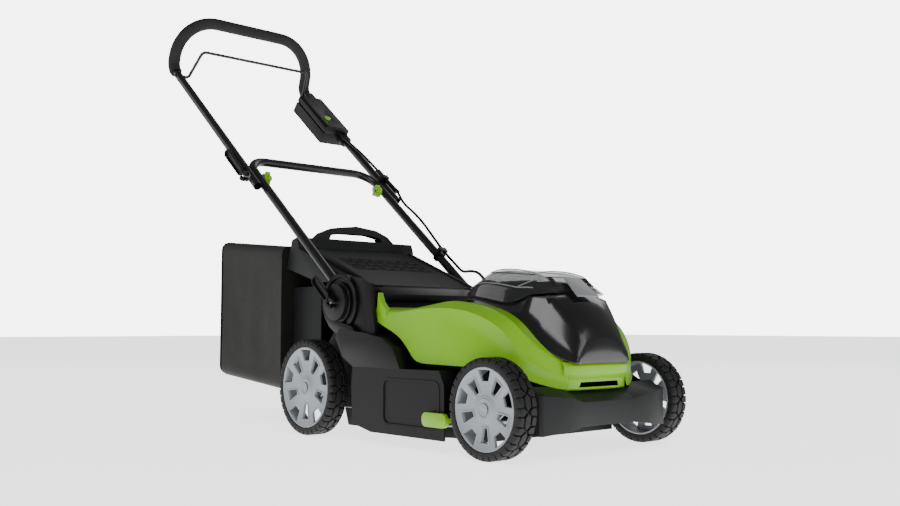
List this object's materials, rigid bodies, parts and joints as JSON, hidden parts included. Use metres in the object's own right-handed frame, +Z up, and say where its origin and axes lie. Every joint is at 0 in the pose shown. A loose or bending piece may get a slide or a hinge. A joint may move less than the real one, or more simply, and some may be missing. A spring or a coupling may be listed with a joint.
{
  "type": "push lawn mower",
  "caption": "Battery push mower with a folding tubular handle, coupled height-adjust axles, a hinged battery lid, a rear flap and a lift-off grass bag.",
  "frame": {"origin": "on the ground under the middle of the machine", "axes": "+X forward, +Z up, -Y the right-hand side"},
  "size_m": [1.3614, 0.4946, 1.0907],
  "materials": {
    "tyre": "moulded rubber",
    "wheel_grey": "satin moulded plastic",
    "steel": "zinc plated",
    "black_tube": "semi-gloss powder coat",
    "deck_black": "fine grained",
    "green": "satin moulded colour",
    "hood_black": "satin black",
    "smoke": "smoked clear plastic",
    "panel_grey": "matt grey",
    "foam": "closed-cell foam",
    "cloth": "woven polyester",
    "cable": "smooth sheath",
    "cast_motor": "cast",
    "blade_steel": "black oxide"
  },
  "bodies": {
    "root": {"deck_shell": "deck_black", "side_cover_right": "deck_black", "side_cover_left": "deck_black", "side_tower_right": "deck_black", "side_tower_left": "deck_black", "front_bumper": "panel_grey", "top_cover": "green", "motor_shroud": "hood_black", "battery_bay": "deck_black", "motor": "cast_motor", "axle_retainers": "deck_black", "hinge_bar": "deck_black", "hinge_pins": "steel", "pivot_bolts": "steel", "cable_deck_loop": "cable"},
    "cutter": {"motor_shaft": "steel", "blade_holder": "blade_steel", "blade": "blade_steel", "blade_bolt": "steel"},
    "front_axle": {"front_axle": "steel", "height_lever": "green", "axle_nuts_front": "steel"},
    "rear_axle": {"rear_axle": "steel", "axle_nuts_rear": "steel"},
    "link_rod": {"link_rod": "steel"},
    "lower_handle": {"lower_handle": "black_tube", "handle_knuckles": "deck_black", "cable_lower": "cable", "cable_clip_lower": "deck_black", "cable_fold_loop": "cable"},
    "upper_handle": {"upper_handle": "black_tube", "foam_grip": "foam", "switch_box_base": "panel_grey", "switch_box_top": "panel_grey", "fold_bolts": "steel", "cable_upper": "cable", "cable_clip_upper": "deck_black"},
    "start_button": {"start_button": "green"},
    "bail_bar": {"bail_bar": "black_tube"},
    "battery_lid": {"battery_lid": "smoke", "lid_latch": "panel_grey"},
    "battery_right": {"battery_right": "deck_black"},
    "battery_left": {"battery_left": "deck_black"},
    "rear_flap": {"rear_flap": "panel_grey"},
    "grass_bag": {"bag_fabric": "cloth", "bag_frame": "panel_grey"},
    "pivot_lever_right": {"pivot_lever_right": "deck_black"},
    "fold_lever_right": {"fold_lever_right": "deck_black"},
    "star_knob_right": {"star_knob_right": "green"},
    "wheel_front_right": {"tyre_front_right": "tyre", "rim_front_right": "wheel_grey"},
    "wheel_rear_right": {"tyre_rear_right": "tyre", "rim_rear_right": "wheel_grey"},
    "pivot_lever_left": {"pivot_lever_left": "deck_black"},
    "fold_lever_left": {"fold_lever_left": "deck_black"},
    "star_knob_left": {"star_knob_left": "green"},
    "wheel_front_left": {"tyre_front_left": "tyre", "rim_front_left": "wheel_grey"},
    "wheel_rear_left": {"tyre_rear_left": "tyre", "rim_rear_left": "wheel_grey"}
  },
  "joints": [
    {"name": "front_axle_crank", "type": "hinge", "parent": "root", "child": "front_axle", "pos_m": [0.5511, 0, 0.06148], "axis": [0, 1, 0], "range_deg": [0, 75.4]},
    {"name": "rear_axle_crank", "type": "hinge", "parent": "root", "child": "rear_axle", "pos_m": [-0.0013, 0, 0.07398], "axis": [0, 1, 0], "range_deg": [0, 75.4]},
    {"name": "link_rod_pivot", "type": "hinge", "parent": "front_axle", "child": "link_rod", "pos_m": [0.58787, -0.183, 0.0519], "axis": [0, 1, 0], "range_deg": [-75.4, 0]},
    {"name": "wheel_front_right_spin", "type": "hinge", "parent": "front_axle", "child": "wheel_front_right", "pos_m": [0.5867, -0.2135, 0.089], "axis": [0, 1, 0], "continuous": true},
    {"name": "wheel_front_left_spin", "type": "hinge", "parent": "front_axle", "child": "wheel_front_left", "pos_m": [0.5867, 0.2135, 0.089], "axis": [0, 1, 0], "continuous": true},
    {"name": "wheel_rear_right_spin", "type": "hinge", "parent": "rear_axle", "child": "wheel_rear_right", "pos_m": [0.0343, -0.2135, 0.1015], "axis": [0, 1, 0], "continuous": true},
    {"name": "wheel_rear_left_spin", "type": "hinge", "parent": "rear_axle", "child": "wheel_rear_left", "pos_m": [0.0343, 0.2135, 0.1015], "axis": [0, 1, 0], "continuous": true},
    {"name": "blade_spin", "type": "hinge", "parent": "root", "child": "cutter", "pos_m": [0.3267, 0, 0.031], "axis": [0, 0, 1], "continuous": true},
    {"name": "handle_pivot", "type": "hinge", "parent": "root", "child": "lower_handle", "pos_m": [0.1367, 0, 0.281], "axis": [0, -1, 0], "range_deg": [-100, 0], "deforming": ["cable_deck_loop"]},
    {"name": "handle_fold", "type": "hinge", "parent": "lower_handle", "child": "upper_handle", "pos_m": [-0.24116, 0, 0.58918], "axis": [0, 1, 0], "range_deg": [0, 150], "deforming": ["cable_fold_loop"]},
    {"name": "pivot_lever_right_flip", "type": "hinge", "parent": "root", "child": "pivot_lever_right", "pos_m": [0.1367, -0.2393, 0.281], "axis": [0.632, 0, 0.7749], "range_deg": [0, 110]},
    {"name": "fold_lever_right_flip", "type": "hinge", "parent": "upper_handle", "child": "fold_lever_right", "pos_m": [-0.24116, -0.2313, 0.58918], "axis": [0.6347, 0, 0.7727], "range_deg": [0, 110]},
    {"name": "star_knob_right_turn", "type": "hinge", "parent": "upper_handle", "child": "star_knob_right", "pos_m": [-0.24116, -0.166, 0.58918], "axis": [0, 1, 0], "continuous": true},
    {"name": "pivot_lever_left_flip", "type": "hinge", "parent": "root", "child": "pivot_lever_left", "pos_m": [0.1367, 0.2393, 0.281], "axis": [-0.632, 0, -0.7749], "range_deg": [0, 110]},
    {"name": "fold_lever_left_flip", "type": "hinge", "parent": "upper_handle", "child": "fold_lever_left", "pos_m": [-0.24116, 0.2313, 0.58918], "axis": [-0.6347, 0, -0.7727], "range_deg": [0, 110]},
    {"name": "star_knob_left_turn", "type": "hinge", "parent": "upper_handle", "child": "star_knob_left", "pos_m": [-0.24116, 0.166, 0.58918], "axis": [0, 1, 0], "continuous": true},
    {"name": "bail_pull", "type": "hinge", "parent": "upper_handle", "child": "bail_bar", "pos_m": [-0.63294, 0, 0.91099], "axis": [0, -1, 0], "range_deg": [0, 45], "stiffness_Nm_per_rad": 0.4, "springref_deg": -22.92},
    {"name": "start_button_press", "type": "slide", "parent": "upper_handle", "child": "start_button", "axis": [-0.6347, 0, -0.7727], "range_m": [0, 0.004], "stiffness_N_per_m": 300, "springref_m": -0.003},
    {"name": "battery_lid_open", "type": "hinge", "parent": "root", "child": "battery_lid", "pos_m": [0.3747, 0, 0.292], "axis": [0, 1, 0], "range_deg": [-75, 0]},
    {"name": "battery_right_lift", "type": "slide", "parent": "root", "child": "battery_right", "axis": [0, 0, 1], "range_m": [0, 0.005]},
    {"name": "battery_left_lift", "type": "slide", "parent": "root", "child": "battery_left", "axis": [0, 0, 1], "range_m": [0, 0.005]},
    {"name": "rear_flap_lift", "type": "hinge", "parent": "root", "child": "rear_flap", "pos_m": [0.1587, 0, 0.309], "axis": [0, -1, 0], "range_deg": [-55, 0], "stiffness_Nm_per_rad": 0.8, "springref_deg": 28.65},
    {"name": "grass_bag_pull", "type": "slide", "parent": "root", "child": "grass_bag", "axis": [-1, 0, 0], "range_m": [0, 0.45]}
  ],
  "couplings": [
    {"joint": "rear_axle_crank", "follows": "front_axle_crank", "ratio": 1},
    {"joint": "link_rod_pivot", "follows": "front_axle_crank", "ratio": -1}
  ]
}
